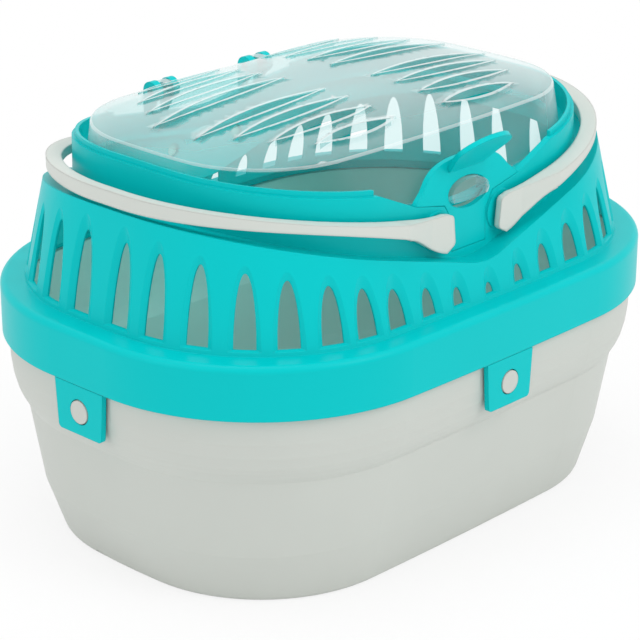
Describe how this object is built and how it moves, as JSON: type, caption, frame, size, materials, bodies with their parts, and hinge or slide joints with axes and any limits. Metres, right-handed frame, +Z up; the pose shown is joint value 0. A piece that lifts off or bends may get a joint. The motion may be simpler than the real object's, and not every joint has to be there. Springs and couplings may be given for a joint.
{
  "type": "plastic pet carrier",
  "caption": "Small oval plastic pet carrier with a grey tub, a slotted turquoise upper shell, a hinged clear lid with a sprung latch, and two swinging carry handles.",
  "frame": {"origin": "middle of the tub's flat underside, on the surface that the carrier stands on", "axes": "+X along the length, +Y to the hinge side (the latch is on the -Y side), +Z up"},
  "size_m": [0.3006, 0.2182, 0.1967],
  "materials": {
    "tub_plastic": "fine matt moulded polypropylene",
    "shell_plastic": "satin moulded polypropylene",
    "clear_lid": "clear moulded polystyrene",
    "handle_plastic": "fine matt moulded polypropylene"
  },
  "bodies": {
    "tub": {"base_tub": "tub_plastic"},
    "shell": {"upper_shell": "shell_plastic"},
    "lid": {"lid": "clear_lid"},
    "latch": {"lid_latch": "shell_plastic"},
    "handle_left": {"handle_left": "handle_plastic"},
    "handle_right": {"handle_right": "handle_plastic"},
    "clip_front": {"clip_front": "shell_plastic"},
    "clip_back": {"clip_back": "shell_plastic"},
    "clip_left": {"clip_left": "shell_plastic"},
    "clip_right": {"clip_right": "shell_plastic"}
  },
  "joints": [
    {"name": "shell_lift", "type": "slide", "parent": "tub", "child": "shell", "axis": [0, 0, 1], "range_m": [0, 0.12]},
    {"name": "lid_hinge", "type": "hinge", "parent": "shell", "child": "lid", "pos_m": [0, 0.0762, 0.1815], "axis": [1, 0, 0], "range_deg": [-105, 0]},
    {"name": "latch_flex", "type": "hinge", "parent": "shell", "child": "latch", "pos_m": [0, -0.0836, 0.138], "axis": [-1, 0, 0], "range_deg": [-10, 0], "stiffness_Nm_per_rad": 0.5},
    {"name": "handle_left_swing", "type": "hinge", "parent": "shell", "child": "handle_left", "pos_m": [-0.0205, 0, 0.1495], "axis": [0, 1, 0], "range_deg": [0, 70]},
    {"name": "handle_right_swing", "type": "hinge", "parent": "shell", "child": "handle_right", "pos_m": [0.0205, 0, 0.1495], "axis": [0, -1, 0], "range_deg": [0, 70]},
    {"name": "clip_front_flex", "type": "hinge", "parent": "shell", "child": "clip_front", "pos_m": [0, -0.1088, 0.0935], "axis": [-1, 0, 0], "range_deg": [0, 12], "stiffness_Nm_per_rad": 0.3},
    {"name": "clip_back_flex", "type": "hinge", "parent": "shell", "child": "clip_back", "pos_m": [0, 0.1088, 0.0935], "axis": [1, 0, 0], "range_deg": [0, 12], "stiffness_Nm_per_rad": 0.3},
    {"name": "clip_left_flex", "type": "hinge", "parent": "shell", "child": "clip_left", "pos_m": [-0.15, 0, 0.0935], "axis": [0, 1, 0], "range_deg": [0, 12], "stiffness_Nm_per_rad": 0.3},
    {"name": "clip_right_flex", "type": "hinge", "parent": "shell", "child": "clip_right", "pos_m": [0.15, 0, 0.0935], "axis": [0, -1, 0], "range_deg": [0, 12], "stiffness_Nm_per_rad": 0.3}
  ]
}
